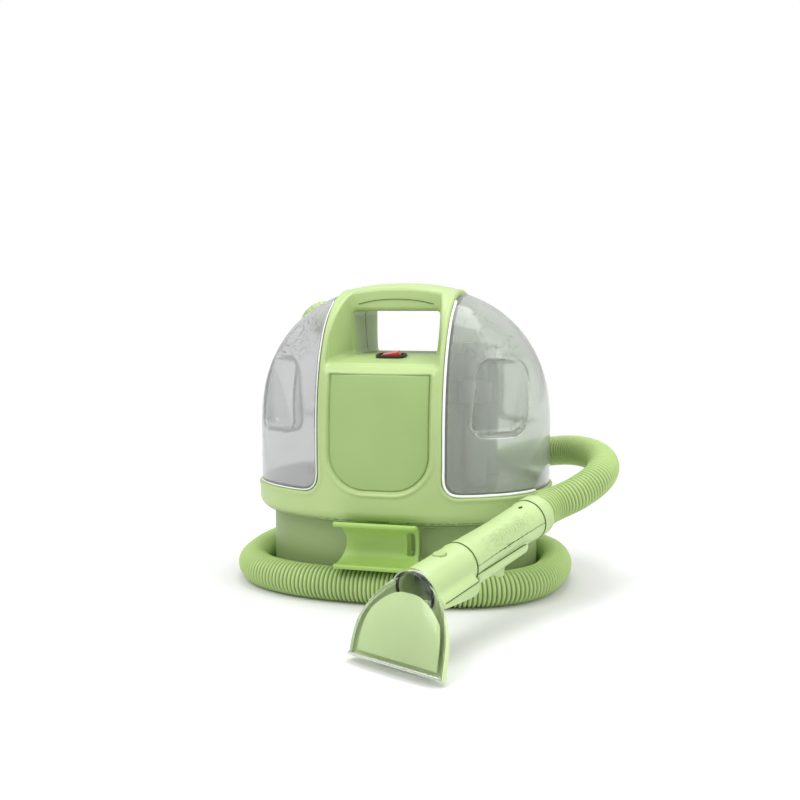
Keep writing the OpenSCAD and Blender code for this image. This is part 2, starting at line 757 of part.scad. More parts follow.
module trigger_pin() color(grey) wand_frame()
    translate([pivot[0], 8.4, pivot[1]]) rotate([90, 0, 0]) cylinder(r = 1.5, h = 16.8, $fn = 32);

module trigger() color(green) wand_frame() difference() {
    union() {
        translate([0, 4.8, 0]) rotate([90, 0, 0]) linear_extrude(9.6)
            polygon([[84, -16.4], [82, -14.6], [82, -11.2], [86, -10.2], [96, -11.6],
                [116, -14.6], [117, -18], [112, -31], [106, -30]]);
    }
    translate([pivot[0], 30, pivot[1]]) rotate([90, 0, 0]) cylinder(r = 1.55, h = 60, $fn = 32);
}

module trigger_spring() color(grey) wand_frame() translate([104, 0, -12.2]) helix(2.2, 0.4, 8, 4);

// ---------- nozzle ----------

// Mouth and neck sections of the flattened funnel, as rings of the same length
mouth_mid = [61, -273, 3.6];
mouth_dir = [0.90, -0.43, 0];         // along the mouth
mouth_out = [-0.384, -0.804, 0.451];  // square to the head's face, away from the wand
mouth_depth = 15;
head_steps = [0, 0.2, 0.38, 0.54, 0.67, 0.78, 0.87, 0.94, 1];  // from mouth to neck
head_n = 32;
bell = 3.3;                           // how late the head narrows towards the neck

function wand_point(q) = let (ce = cos(wand_rise), se = sin(wand_rise),
    ch = cos(wand_heading), sh = sin(wand_heading),
    x = ce * q[0] - se * q[2], z = se * q[0] + ce * q[2])
    neck + [ch * x - sh * q[1], sh * x + ch * q[1], z];

neck_mid = wand_point([4, 0, 0]);
neck_wide = wand_point([0, 1, 0]) - neck;
neck_high = wand_point([0, 0, 1]) - neck;

// Cross-section of the head at f between mouth (0) and neck (1), drawn in by off
function head_ring(off, f) = [for (k = [0:head_n - 1]) let (t = 360 * k / head_n,
    g = pow(f, bell), w = mouth_w / 2 - off, d = mouth_depth / 2 - off, r = wand_r - off)
    mouth_mid * (1 - f) + neck_mid * f + 4 * sin(180 * f) * mouth_out
        - w * spow(cos(t), 0.6) * (1 - g) * mouth_dir + r * cos(t) * g * neck_wide
        + d * spow(sin(t), 0.8) * (1 - f) * mouth_out + r * sin(t) * f * neck_high];

function head_grid(off, k0, k1) = [for (f = head_steps)
    let (r = head_ring(off, f)) [for (k = [k0:k1]) r[(k + head_n) % head_n]]];

// Housing of the spray line, along the underside of the nozzle's socket
module spray_housing() difference() {
    translate([6, -13, -12]) rotate([0, 90, 0]) cylinder(r = 10.5, h = 48, $fn = 48);
    rotate([0, 90, 0]) cylinder(r = 15.8, h = socket_len, $fn = 48);
}

module nozzle_body() color(green) {
    plate_shell(head_grid(0, 15, 33), head_grid(2.2, 15, 33));
    wand_frame() difference() {
        union() {
            tube_x(wand_r, wand_r - 3.4, 4.4, socket_len);
            spray_housing();
            slab([10, 27, 1.2], [button_x, 0, 7.6]);
        }
        translate([button_x, 0, 10]) cylinder(r = 5, h = 20, $fn = 48);
    }
}

module nozzle_window() color(clear)
    plate_shell(head_grid(0, 1, 15), head_grid(2, 1, 15));

module spray_tip() color(black) wand_frame() translate([8, 0, 9]) rotate([0, 90, 0]) difference() {
    cylinder(r = 4, h = 10, $fn = 32);
    translate([0, 0, -1]) cylinder(r = 1, h = 20, $fn = 24);
}

module release_button() color(green) wand_frame()
    translate([button_x, 0, 11.8]) cylinder(r = 4.95, h = 6.4, $fn = 48);

module release_spring() color(grey) wand_frame()
    translate([button_x, 0, 8.7]) helix(3, 0.4, 2.6, 3);

base_plate();
foot_pads();
base_screws();
hose_drum();
tank_tray();
front_shell();
rear_shell();
shell_screws();
front_panel();
tool_clip();
button_bezel();
switch_body();
cord_gland();
cord_wrap();
exhaust_grille();
hose_port();
fan_housing();
motor_can();
motor_mount();
motor_bearings();
pump_body();
water_line();
supply_line();
intake_duct();
inlet_duct();
valve_socket();
dock_seals();
flex_hose();
motor_shaft();
impeller();
power_rocker();
pump_plunger();
pump_spring();
clean_tank_shell();
clean_tank_wall();
clean_valve_body();
fill_neck();
clean_valve_stem();
clean_valve_spring();
fill_cap();
fill_cap_gasket();
dirty_tank_shell();
dirty_tank_wall();
inlet_stack();
suction_stack();
float();
wand_upper_shell();
wand_lower_shell();
hose_cuff();
wand_screws();
spray_valve();
trigger_pin();
trigger();
trigger_spring();
nozzle_body();
nozzle_window();
spray_tip();
release_button();
release_spring();
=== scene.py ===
import math
import bpy
import numpy as np
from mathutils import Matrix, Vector


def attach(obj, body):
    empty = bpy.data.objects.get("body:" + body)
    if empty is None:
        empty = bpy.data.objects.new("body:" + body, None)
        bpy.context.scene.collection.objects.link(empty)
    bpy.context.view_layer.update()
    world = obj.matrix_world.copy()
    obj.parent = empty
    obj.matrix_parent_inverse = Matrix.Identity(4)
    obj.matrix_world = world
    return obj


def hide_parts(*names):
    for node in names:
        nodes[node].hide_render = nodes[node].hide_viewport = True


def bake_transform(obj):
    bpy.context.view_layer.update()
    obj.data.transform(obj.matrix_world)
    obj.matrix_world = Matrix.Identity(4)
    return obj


# The looks of a portable spot extractor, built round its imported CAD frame. Shapes are in
# millimetres in the frame's own axes (X right, Y back, Z up) and become metres in new_object.

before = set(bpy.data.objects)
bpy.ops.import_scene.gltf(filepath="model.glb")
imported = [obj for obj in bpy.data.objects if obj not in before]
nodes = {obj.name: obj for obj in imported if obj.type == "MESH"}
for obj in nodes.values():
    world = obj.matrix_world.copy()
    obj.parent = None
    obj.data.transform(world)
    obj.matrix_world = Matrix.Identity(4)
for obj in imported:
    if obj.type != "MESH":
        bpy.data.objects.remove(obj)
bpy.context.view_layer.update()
MM = 0.001

# ---------- camera, floor and light ----------

FOCAL_MM, SENSOR_MM = 45.407, 36
CAMERA_AT = (0.24111, -0.96753, 0.26739)
LOOK_DOWN, TURNED = 5.303, 14.274       # degrees

scene = bpy.context.scene
cam = bpy.data.objects.new("camera", bpy.data.cameras.new("camera"))
scene.collection.objects.link(cam)
scene.camera = cam
cam.data.lens = FOCAL_MM
cam.data.sensor_width = SENSOR_MM
cam.location = CAMERA_AT
cam.rotation_euler = (math.radians(90 - LOOK_DOWN), 0, math.radians(TURNED))
scene.view_settings.view_transform = "Standard"

# ---------- the hose, laid first ----------

HOSE_D = 31.0
RIB_PITCH = 3.95
RIB_DEPTH = 1.9
RIB_FULLNESS = 1.6                      # above 1, the crests are wider than the valleys
HOSE_SIDES = 40
FINE_STEP = 0.66                        # about six rings to a rib
ON_FLOOR = 15.6                         # height of its middle line where it lies on the floor

# From the port, round the front of the drum, up behind the body and into the wand's cuff.
LAID = [(42, 106), (58, 106), (80, 102), (112, 86), (137, 58), (148, 25), (149, -8),
        (142, -48), (121, -79), (88, -98), (48, -107), (0, -109), (-48, -107), (-88, -98),
        (-121, -79), (-142, -48), (-149, -8)]
RISING = [(-148, 28, 16), (-134, 66, 19), (-106, 96, 26), (-70, 116, 37), (-30, 126, 52),
          (10, 129, 68), (50, 127, 86), (90, 120, 101), (126, 108, 112), (158, 88, 118),
          (182, 58, 118), (193, 24, 113), (189, -12, 105.5), (172, -42, 96),
          (151.8, -66.1, 88.9), (142.34, -85.66, 84.89)]
HOSE_POINTS = [(x, y, ON_FLOOR) for x, y in LAID] + RISING


def catmull(points, steps):
    """A smooth line through the points, with its ends mirrored."""
    p = np.array(points, float)
    p = np.vstack([2 * p[0] - p[1], p, 2 * p[-1] - p[-2]])
    out = []
    for i in range(1, len(p) - 2):
        a, b, c, d = p[i - 1:i + 3]
        for t in np.arange(steps) / steps:
            out.append(0.5 * (2 * b + (c - a) * t + (2 * a - 5 * b + 4 * c - d) * t ** 2
                              + (3 * b - a - 3 * c + d) * t ** 3))
    out.append(p[-2])
    return np.array(out)


def even(line, step):
    """The same line with points an even step apart, and its length."""
    seg = np.linalg.norm(np.diff(line, axis=0), axis=1)
    run = np.concatenate([[0], np.cumsum(seg)])
    n = int(round(run[-1] / step))
    s = np.linspace(0, run[-1], n + 1)
    return np.stack([np.interp(s, run, line[:, k]) for k in range(3)], 1), run[-1]


def new_object(name, verts, faces, normals=None):
    """A mesh object from millimetre points, in metres."""
    mesh = bpy.data.meshes.new(name)
    mesh.from_pydata((np.asarray(verts) * MM).tolist(), [], [list(map(int, f)) for f in faces])
    mesh.polygons.foreach_set("use_smooth", [True] * len(mesh.polygons))
    mesh.update()
    if normals is not None:
        mesh.normals_split_custom_set_from_vertices(normals.tolist())
    obj = bpy.data.objects.new(name, mesh)
    scene.collection.objects.link(obj)
    return obj


def sweep(name, line, radii, sides):
    """A round tube along a line, closed at both ends, with one radius per point."""
    tang = np.gradient(line, axis=0)
    tang /= np.linalg.norm(tang, axis=1)[:, None]
    side = np.zeros_like(line)
    ref = np.cross(tang[0], [0, 0, 1.0])
    for i, t in enumerate(tang):
        ref = ref - t * (ref @ t)
        ref /= np.linalg.norm(ref)
        side[i] = ref
    up = np.cross(side, tang)
    ang = np.linspace(0, 2 * np.pi, sides, endpoint=False)
    ring = side[:, None] * np.cos(ang)[None, :, None] + up[:, None] * np.sin(ang)[None, :, None]
    verts = (line[:, None] + ring * np.asarray(radii)[:, None, None]).reshape(-1, 3)
    n = len(line)
    i, k = np.meshgrid(np.arange(n - 1), np.arange(sides), indexing="ij")
    a = i * sides + k
    b = i * sides + (k + 1) % sides
    faces = np.stack([a, b, b + sides, a + sides], -1).reshape(-1, 4).tolist()
    faces.append(list(range(sides))[::-1])
    faces.append([(n - 1) * sides + q for q in range(sides)])
    return new_object(name, verts, faces)


def make_hose():
    """The corrugated hose, its middle line in longer steps, and its length."""
    fine, length = even(catmull(HOSE_POINTS, 24), FINE_STEP)
    run = np.linspace(0, length, len(fine))
    wave = 0.5 - 0.5 * np.cos(2 * np.pi * run / RIB_PITCH)
    wave = 1 - (1 - wave) ** RIB_FULLNESS
    tube = sweep("hose", fine, HOSE_D / 2 - RIB_DEPTH * (1 - wave), HOSE_SIDES)
    height = tube.data.attributes.new("rib", "FLOAT", "POINT")
    height.data.foreach_set("value", np.repeat(wave, HOSE_SIDES).astype(np.float32))
    path, _ = even(fine, 4.0)
    return tube, path, length


hose, hose_path, hose_len = make_hose()

# ---------- materials ----------


def node(tree, kind, **values):
    """A shader node, with each value set on its input or, failing that, as a property."""
    n = tree.nodes.new(kind)
    for k, v in values.items():
        if k in n.inputs:
            n.inputs[k].default_value = v
        else:
            setattr(n, k, v)
    return n


GLOSS_SPREAD = 0.06


def plastic(name, colour, rough=0.34, grain=900, bump=0.04, vary=0.05, coat=0.0,
            spec=0.5, transmission=0.0, ior=1.47):
    """Moulded plastic: fine grain, slow colour drift and uneven gloss."""
    mat = bpy.data.materials.new(name)
    mat.use_nodes = True
    t = mat.node_tree
    bsdf = t.nodes["Principled BSDF"]
    link = t.links.new
    where = node(t, "ShaderNodeTexCoord")
    slow = node(t, "ShaderNodeTexNoise", Scale=14.0, Detail=3.0)
    fine = node(t, "ShaderNodeTexNoise", Scale=float(grain), Detail=2.0, Roughness=0.6)
    for n in (slow, fine):
        link(where.outputs["Object"], n.inputs["Vector"])
    ramp = node(t, "ShaderNodeValToRGB")
    c = np.array(colour)
    ramp.color_ramp.elements[0].position = 0.3
    ramp.color_ramp.elements[1].position = 0.7
    ramp.color_ramp.elements[0].color = (*(c * (1 - vary)), 1)
    ramp.color_ramp.elements[1].color = (*np.minimum(c * (1 + vary), 1), 1)
    link(slow.outputs["Fac"], ramp.inputs["Fac"])
    link(ramp.outputs["Color"], bsdf.inputs["Base Color"])
    gloss = node(t, "ShaderNodeMapRange")
    gloss.inputs["To Min"].default_value = max(0.02, rough - GLOSS_SPREAD)
    gloss.inputs["To Max"].default_value = rough + GLOSS_SPREAD
    link(fine.outputs["Fac"], gloss.inputs["Value"])
    link(gloss.outputs["Result"], bsdf.inputs["Roughness"])
    relief = node(t, "ShaderNodeBump", Strength=bump, Distance=0.0003)
    link(fine.outputs["Fac"], relief.inputs["Height"])
    link(relief.outputs["Normal"], bsdf.inputs["Normal"])
    bsdf.inputs["IOR"].default_value = ior
    bsdf.inputs["Specular IOR Level"].default_value = spec
    bsdf.inputs["Transmission Weight"].default_value = transmission
    bsdf.inputs["Coat Weight"].default_value = coat
    return mat


green = plastic("green_plastic", (0.425, 0.555, 0.235), rough=0.36, spec=0.45)
# The drum's green is darker than the body's: painted shade for the base, which sits under the
# skirt's overhang.
drum_painted_shade_green = plastic("green_drum_painted_shade", (0.27, 0.365, 0.15), rough=0.42, spec=0.4)
green_clip = plastic("green_clip", (0.33, 0.51, 0.12), rough=0.36, spec=0.45)
green_panel = plastic("green_panel", (0.33, 0.46, 0.175), rough=0.45, spec=0.35)
green_wand = plastic("green_wand", (0.47, 0.62, 0.28), rough=0.34, spec=0.45)
green_head = plastic("green_head", (0.60, 0.74, 0.38), rough=0.4, spec=0.4)
green_hose = plastic("green_hose", (0.42, 0.58, 0.21), rough=0.42, spec=0.35, grain=600)
# Near-black: painted shade for the mouldings' fine grooves, seams and vent.
groove_shade_dark = plastic("groove_line_painted_shade", (0.06, 0.10, 0.03), rough=0.6, spec=0.2)
smoke_left = plastic("smoked_tank_left", (0.86, 0.87, 0.87), rough=0.14, transmission=0.80,
                     grain=30, bump=0.0, vary=0.03, ior=1.42)
smoke_right = plastic("smoked_tank_right", (0.84, 0.88, 0.82), rough=0.12, transmission=0.84,
                      grain=30, bump=0.0, vary=0.03, ior=1.42)
clear = plastic("clear_window", (0.93, 0.95, 0.93), rough=0.07, transmission=1.0, bump=0.01,
                vary=0.01, ior=1.18)
# Near-white and opaque: painted highlight for the tanks' rounded edges.
highlight_white = plastic("tank_edge_painted_highlight", (0.93, 0.95, 0.92), rough=0.22, bump=0.0, vary=0.01, spec=0.6)
lip_grey = plastic("clear_lip", (0.52, 0.56, 0.48), rough=0.22, transmission=0.4, vary=0.03)
frosted = plastic("clear_tube", (0.80, 0.83, 0.81), rough=0.30, transmission=0.6, bump=0.02,
                  vary=0.02)
black = plastic("black_plastic", (0.018, 0.018, 0.018), rough=0.4)
grey = plastic("grey_plastic", (0.50, 0.51, 0.52), rough=0.45)
red = plastic("red_plastic", (0.62, 0.030, 0.025), rough=0.25, coat=0.3)
rubber = plastic("black_rubber", (0.02, 0.02, 0.02), rough=0.75)
steel = plastic("steel", (0.55, 0.56, 0.58), rough=0.3)
steel.node_tree.nodes["Principled BSDF"].inputs["Metallic"].default_value = 1.0


def paint_valley_shade(mat):
    """Painted shade in the hose's valleys: the base colour is darkened where the rib height is
    low.
    """
    t = mat.node_tree
    bsdf = t.nodes["Principled BSDF"]
    source = bsdf.inputs["Base Color"].links[0].from_socket
    rib = node(t, "ShaderNodeAttribute", attribute_name="rib")
    shade = node(t, "ShaderNodeMapRange")
    shade.inputs["From Max"].default_value = 0.75
    shade.inputs["To Min"].default_value = 0.32
    t.links.new(rib.outputs["Fac"], shade.inputs["Value"])
    # Colours go into a mix node's inputs 6 and 7, and come out of output 2.
    mix = node(t, "ShaderNodeMix", data_type="RGBA", blend_type="MULTIPLY")
    mix.inputs[0].default_value = 1.0
    t.links.new(source, mix.inputs[6])
    t.links.new(shade.outputs["Result"], mix.inputs[7])
    t.links.new(mix.outputs[2], bsdf.inputs["Base Color"])


paint_valley_shade(green_hose)

# ---------- surfaces from distance functions ----------


def surface_nets(fn, low, high, step):
    """Quads on the zero level of fn, with the points drawn onto it."""
    low = np.array(low, float)
    n = np.ceil((np.array(high) - low) / step).astype(int) + 1
    axes = [low[i] + step * np.arange(n[i]) for i in range(3)]
    x, y, z = np.meshgrid(*axes, indexing="ij", sparse=True)
    f = np.array(np.broadcast_to(fn(x, y, z), tuple(n)), np.float32)

    # The cells that the surface passes through get one point each.
    inside = f < 0
    count = np.zeros(tuple(n - 1), np.uint8)
    for i in (0, 1):
        for j in (0, 1):
            for k in (0, 1):
                count += inside[i:n[0] - 1 + i, j:n[1] - 1 + j, k:n[2] - 1 + k]
    active = (count > 0) & (count < 8)
    ids = np.full(active.shape, -1, np.int64)
    ids[active] = np.arange(active.sum())
    cell = np.argwhere(active)
    pos = np.zeros((len(cell), 3))
    weight = np.zeros(len(cell))
    faces = []
    for axis in range(3):
        # The point is the mean of the crossings on its cell's edges.
        e = np.zeros(3, int)
        e[axis] = 1
        o1, o2 = [a for a in range(3) if a != axis]
        for u in (0, 1):
            for v in (0, 1):
                base = np.zeros(3, int)
                base[o1], base[o2] = u, v
                a = cell + base
                b = a + e
                fa = f[a[:, 0], a[:, 1], a[:, 2]]
                fb = f[b[:, 0], b[:, 1], b[:, 2]]
                cross = (fa < 0) != (fb < 0)
                t = fa[cross] / (fa[cross] - fb[cross])
                pos[cross] += base + t[:, None] * e
                weight[cross] += 1
        # Each crossed edge gets a quad between the four cells round it, facing outwards.
        lower = [slice(None)] * 3
        upper = [slice(None)] * 3
        lower[axis] = slice(0, -1)
        upper[axis] = slice(1, None)
        at = np.argwhere(inside[tuple(lower)] != inside[tuple(upper)])
        ok = (at[:, o1] > 0) & (at[:, o2] > 0) & (at[:, o1] < n[o1] - 1) & (at[:, o2] < n[o2] - 1)
        at = at[ok]
        quad = []
        for u, v in ((-1, -1), (0, -1), (0, 0), (-1, 0)):
            c = at.copy()
            c[:, o1] += u
            c[:, o2] += v
            quad.append(ids[c[:, 0], c[:, 1], c[:, 2]])
        quad = np.stack(quad, 1)
        outward = inside[at[:, 0], at[:, 1], at[:, 2]]
        flip = outward if axis != 1 else ~outward
        quad[~flip] = quad[~flip][:, ::-1]
        faces.append(quad)
    verts = low + step * (cell + pos / np.maximum(weight, 1)[:, None])
    faces = np.concatenate(faces)
    for _ in range(4):                  # Newton steps onto the surface
        d, grad = slope(fn, verts)
        move = d / np.maximum((grad ** 2).sum(1), 0.2)
        verts -= np.clip(move, -0.5 * step, 0.5 * step)[:, None] * grad
    _, grad = slope(fn, verts)
    grad /= np.maximum(np.linalg.norm(grad, axis=1), 1e-6)[:, None]
    return verts, faces, grad


def slope(fn, p, eps=0.08):
    """Value and gradient of fn at points p."""
    def at(dx, dy, dz):
        return np.asarray(fn(p[:, 0] + dx, p[:, 1] + dy, p[:, 2] + dz), float)
    g = np.stack([at(eps, 0, 0) - at(-eps, 0, 0), at(0, eps, 0) - at(0, -eps, 0),
                  at(0, 0, eps) - at(0, 0, -eps)], 1) / (2 * eps)
    return at(0, 0, 0), g


def both(a, b, r):
    """Inside both, with rounded outer edges."""
    u = np.maximum(r + a, 0)
    v = np.maximum(r + b, 0)
    return np.minimum(-r, np.maximum(a, b)) + np.sqrt(u * u + v * v)


def either(a, b, r):
    """Inside either, with a fillet between them."""
    u = np.maximum(r - a, 0)
    v = np.maximum(r - b, 0)
    return np.maximum(r, np.minimum(a, b)) - np.sqrt(u * u + v * v)


def carved(a, b, r):
    """a with b taken away, and the rim rounded."""
    return both(a, -b, r)


def corner(u, v, r):
    """Distance to a quarter plane with its corner rounded to r; u and v run from its centre."""
    return np.sqrt(np.maximum(u, 0) ** 2 + np.maximum(v, 0) ** 2) + np.minimum(
        np.maximum(u, v), 0) - r


def box_2d(x, y, hx, hy, r):
    """Rounded rectangle about the origin, by its half sizes."""
    return corner(np.abs(x) - hx + r, np.abs(y) - hy + r, r)


def box_3d(x, y, z, hx, hy, hz, r):
    """Rounded box about the origin, by its half sizes."""
    u = np.abs(x) - hx + r
    v = np.abs(y) - hy + r
    w = np.abs(z) - hz + r
    return np.sqrt(np.maximum(u, 0) ** 2 + np.maximum(v, 0) ** 2 + np.maximum(w, 0) ** 2) \
        + np.minimum(np.maximum(np.maximum(u, v), w), 0) - r


def ridge(d, at, width, height):
    """A rounded ridge of this height where d passes at."""
    return height * np.exp(-((d - at) / width) ** 2)


def rising(d, run):
    """From 0 to 1 as d goes from 0 to run."""
    return np.clip(d / run, 0, 1)


def piece(name, fn, low, high, step, mat, body, replaced):
    """The surface of fn as a visible piece that stands for some CAD nodes."""
    v, f, g = surface_nets(fn, low, high, step)
    obj = new_object(name, v, f, g)
    dress(obj, mat, body)
    if replaced:
        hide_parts(*replaced)
    return obj


def dress(obj, mat, body):
    """Give a piece its material and body."""
    obj.data.materials.clear()
    obj.data.materials.append(mat)
    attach(obj, body)


HW, HD = 145.0, 105.0                   # the body's half width and half depth
DOME_Z, DOME_H = 150.0, 140.0           # where the dome starts, and how much it rises
POWER = 2.3                             # roundness of its superellipses
DECK = 97.0                             # the tanks stand on the skirt here
TOWER_X = 58.0                          # half width of the tower between the tanks
DECK_FILLET = 15.0                      # where tower and skirt meet
SHELL_FOOT = 70.0                       # underside of the skirt
SPLIT, SPLIT_GAP = 8.0, 0.15            # Y of the seam between the two halves, and half its gap
WALL = 5.4
DRUM_X, DRUM_Y, DRUM_TOP = 131.0, 90.0, 69.8

PANEL_X, PANEL_Z, PANEL_R = 46.5, 101.5, 33.0
PANEL_TOP = 206.0
SHELF_FRONT = 212.0
HANDLE_FRONT, HANDLE_REAR = -36.0, 54.0
ARCH_UNDER = 263.0
LEG_INNER, LEG_MID = 42.2, 240.0        # half width between the legs, and the height it's for


def dome(x, y, z):
    """Distance to the domed body's surface, by its first-order slope."""
    ax = np.abs(x) / HW
    by = np.abs(y) / HD
    cz = np.maximum(z - DOME_Z, 0) / DOME_H
    s = ax ** POWER + by ** POWER + cz ** POWER + 1e-6
    g = np.sqrt((ax ** (POWER - 1) / HW) ** 2 + (by ** (POWER - 1) / HD) ** 2
                + (cz ** (POWER - 1) / DOME_H) ** 2) + 1e-9
    return (s ** (1 / POWER) - 1) / (s ** (1 / POWER - 1) * g)


def shelf(y):
    """Height of the shelf under the handle along Y."""
    return np.interp(np.abs(y), [0, 40, 84, 92, 98, 120], [222, 222, 216, 212, 206, 206])


def panel_outline(x, z):
    """U-shaped outline of the front panel, open towards the shelf."""
    return corner(np.abs(x) - PANEL_X + PANEL_R, (PANEL_Z + PANEL_R) - z, PANEL_R)


def gap_side(y):
    """Half width of the space between the tower's rims, and between the handle's legs."""
    return np.interp(y, [-130, -78, -36, 54, 78, 130], [53, 53, 43.5, 43, 53, 53])


def tower(x, y, z):
    """Skirt, tower and carry handle as one closed wall, before it's split in two."""
    skin = dome(x, y, z)
    ax = np.abs(x)
    beyond = either(ax - TOWER_X, z - DECK, DECK_FILLET)
    outline = panel_outline(x, z)
    front = y < 0
    bead = ridge(outline, 4.2, 1.7, 1.2) * (rising(SHELF_FRONT - z, 6) * front)
    lip = ridge(beyond, -2.4, 2.0, 0.9)
    recess = 3.6 * rising(2.4 - outline, 2.6) * rising(PANEL_TOP + 1.5 - z, 2.0) * front
    solid = both(skin - bead - lip + recess, beyond, 1.5)
    solid = both(solid, SHELL_FOOT - z, 12)

    leg = LEG_INNER + 2.6 * np.clip((z - LEG_MID) / 23, -1, 1) + 0.03 * np.clip(y - 9, -45, 45)
    arch = either(ARCH_UNDER - z, leg - ax, 5)
    bar = both(both(-(y - HANDLE_FRONT), y - HANDLE_REAR, 6), arch, 5)
    rims = either((gap_side(y) - ax) * 0.97, bar, 3)
    kept = either(rims, (z - shelf(y)) * 0.96, 4)
    solid = both(solid, kept, 3)

    inner = np.maximum(skin + WALL, np.minimum(ax - (TOWER_X - 3.5), z - (DECK + 0.2)))
    inner = np.maximum(inner, kept + 3.2)
    inner = np.maximum(inner, SHELL_FOOT + 3 - z)
    hole = np.maximum(np.abs(z - SHELL_FOOT) - 8, super_plan(x, y, DRUM_X - 8, DRUM_Y - 8))
    return np.maximum(np.maximum(solid, -inner), -hole)


def super_plan(x, y, a, b):
    """Distance to a superellipse in plan."""
    ax = np.abs(x) / a
    by = np.abs(y) / b
    s = ax ** POWER + by ** POWER + 1e-6
    g = np.sqrt((ax ** (POWER - 1) / a) ** 2 + (by ** (POWER - 1) / b) ** 2) + 1e-9
    return (s ** (1 / POWER) - 1) / (s ** (1 / POWER - 1) * g)


BUTTON_Y, BUTTON_Z = -52.0, 220.0       # centre of the power button's hole
GRILLE_Z, GRILLE_X_HALF, GRILLE_Z_HALF = 176.0, 35.2, 17.2
GLAND_Z, GLAND_R = 118.0, 8.1
REAR_FROM = 80.0                        # holes in the rear wall start behind this Y


def front_half(x, y, z):
    d = both(tower(x, y, z), y - (SPLIT - SPLIT_GAP), 0.8)
    return carved(d, box_3d(x, y - BUTTON_Y, z - BUTTON_Z, 12.6, 8.4, 12, 7), 0.5)


def rear_half(x, y, z):
    d = both(tower(x, y, z), (SPLIT + SPLIT_GAP) - y, 0.8)
    grille = box_2d(x, z - GRILLE_Z, GRILLE_X_HALF, GRILLE_Z_HALF, 2)
    d = carved(d, np.maximum(grille, REAR_FROM - y), 0.5)
    gland = np.sqrt(x ** 2 + (z - GLAND_Z) ** 2) - GLAND_R
    return carved(d, np.maximum(gland, REAR_FROM - y), 0.4)


def panel(x, y, z):
    d = dome(x, y, z)
    plate = np.maximum(d + 1.9, -d - 3.9)
    edge = np.maximum(panel_outline(x, z) + 0.4, z - PANEL_TOP)
    return both(both(plate, edge, 0.8), y, 0.5)


TANK_INSET = 2.0                        # how far the tanks' skin lies inside the dome
TANK_WALL = 2.5
TANK_GAP = 1.2                          # between tank and tower
TANK_FOOT = 97.6
PORT_Z, PORT_HALF = 98.0, 6.0           # the holes through a tank's floor
GRIP_X, GRIP_Y, GRIP_Z = 109.0, 67.0, 185.0
GRIP_TURN, GRIP_LEAN = 49, 0.12         # degrees off the X axis, and slope
CAP_AT = (-99, 34, 254.4)
CAP_TILT, CAP_TURN, CAP_HOLE_R = 44, 152.4, 14.0


def tank(x, y, z):
    """A hollow tank on the +X side, with a finger grip at its front and rear."""
    beyond = either(x - (TOWER_X + TANK_GAP), z - TANK_FOOT, DECK_FILLET)
    solid = both(dome(x, y, z) + TANK_INSET, -beyond, 2.0)
    for s in (-1, 1):
        a = math.radians(s * GRIP_TURN)
        u = (x - GRIP_X) * math.cos(a) + (y - s * GRIP_Y) * math.sin(a)
        v = (y - s * GRIP_Y) * math.cos(a) - (x - GRIP_X) * math.sin(a)
        lean = v * s + GRIP_LEAN * (z - GRIP_Z)
        pocket = both(box_2d(lean, z - GRIP_Z, 27, 33, 12), np.abs(u) - 12, 4)
        solid = carved(solid, pocket, 3.0)
    return np.maximum(solid, -(solid + TANK_WALL))


def floor_port(x, y, z, at_x, at_y, r):
    """An upright hole through a tank's floor."""
    return np.maximum(np.hypot(x - at_x, y - at_y) - r, np.abs(z - PORT_Z) - PORT_HALF)


def left_tank(x, y, z):
    """The clean tank, with the fill cap's hole and the valve's."""
    d = tank(-x, y, z)
    a, b = math.radians(CAP_TILT), math.radians(CAP_TURN)
    axis = np.array([math.sin(a) * math.cos(b), math.sin(a) * math.sin(b), math.cos(a)])
    dx, dy, dz = x - CAP_AT[0], y - CAP_AT[1], z - CAP_AT[2]
    along = dx * axis[0] + dy * axis[1] + dz * axis[2]
    r2 = dx ** 2 + dy ** 2 + dz ** 2 - along ** 2
    hole = np.maximum(np.sqrt(np.maximum(r2, 0)) - CAP_HOLE_R, np.abs(along) - 25)
    return np.maximum(np.maximum(d, -hole), -floor_port(x, y, z, -92, 6, 8.6))


def right_tank(x, y, z):
    """The dirty tank, with the holes for its two stacks."""
    d = tank(x, y, z)
    for port_y in (-34, 34):
        d = np.maximum(d, -floor_port(x, y, z, 76, port_y, 11.6))
    return d


def drum(x, y, z):
    """The recessed base that the hose winds round, open above and below."""
    d = super_plan(x, y, DRUM_X, DRUM_Y)
    solid = both(both(d, z - DRUM_TOP, 2), -z, 1.5)
    recess = box_2d(x - 52, z - 51, 16, 15, 5)
    solid = carved(solid, np.maximum(recess, y + 84), 1.2)
    inner = d + 3 + 6 * (recess < 6) * (y < 0)
    port = np.maximum(np.maximum(np.abs(x - 25) - 17, np.abs(z - 16.2) - 15), -y)
    return np.maximum(np.maximum(solid, -inner), -port)


CLIP_Y, CLIP_Z, CLIP_R = -124.0, 55.0, 19.0


def clip(x, y, z):
    """The C-shaped tool clip: a waisted plate bent round X, with rolled lips and a foot."""
    r = np.hypot(y - CLIP_Y, z - CLIP_Z)
    waist = 7.5 * np.clip(1 - ((z - CLIP_Z) / 20) ** 2, 0, 1)
    plate = both(np.abs(r - CLIP_R) - 1.6, -(y - (CLIP_Y - 0.4)), 1.2)
    plate = both(plate, np.maximum(-(x + 35.5) + waist, x - 41 + 0.25 * waist), 1.2)
    lip = np.hypot(y - (CLIP_Y - 0.2), np.abs(z - CLIP_Z) - CLIP_R) - 2.3
    lip = both(lip, np.abs(x - 3) - 38, 1.0)
    foot = box_3d(x - 3, y + 97, z - 54, 28, 8, 11, 2)
    d = np.minimum(either(plate, lip, 1.2), np.maximum(foot, (CLIP_R - 0.5) - r))
    slot = box_3d(x - 32.5, y + 110, z - 56, 3.6, 30, 10.5, 2)
    return carved(d, slot, 0.8)


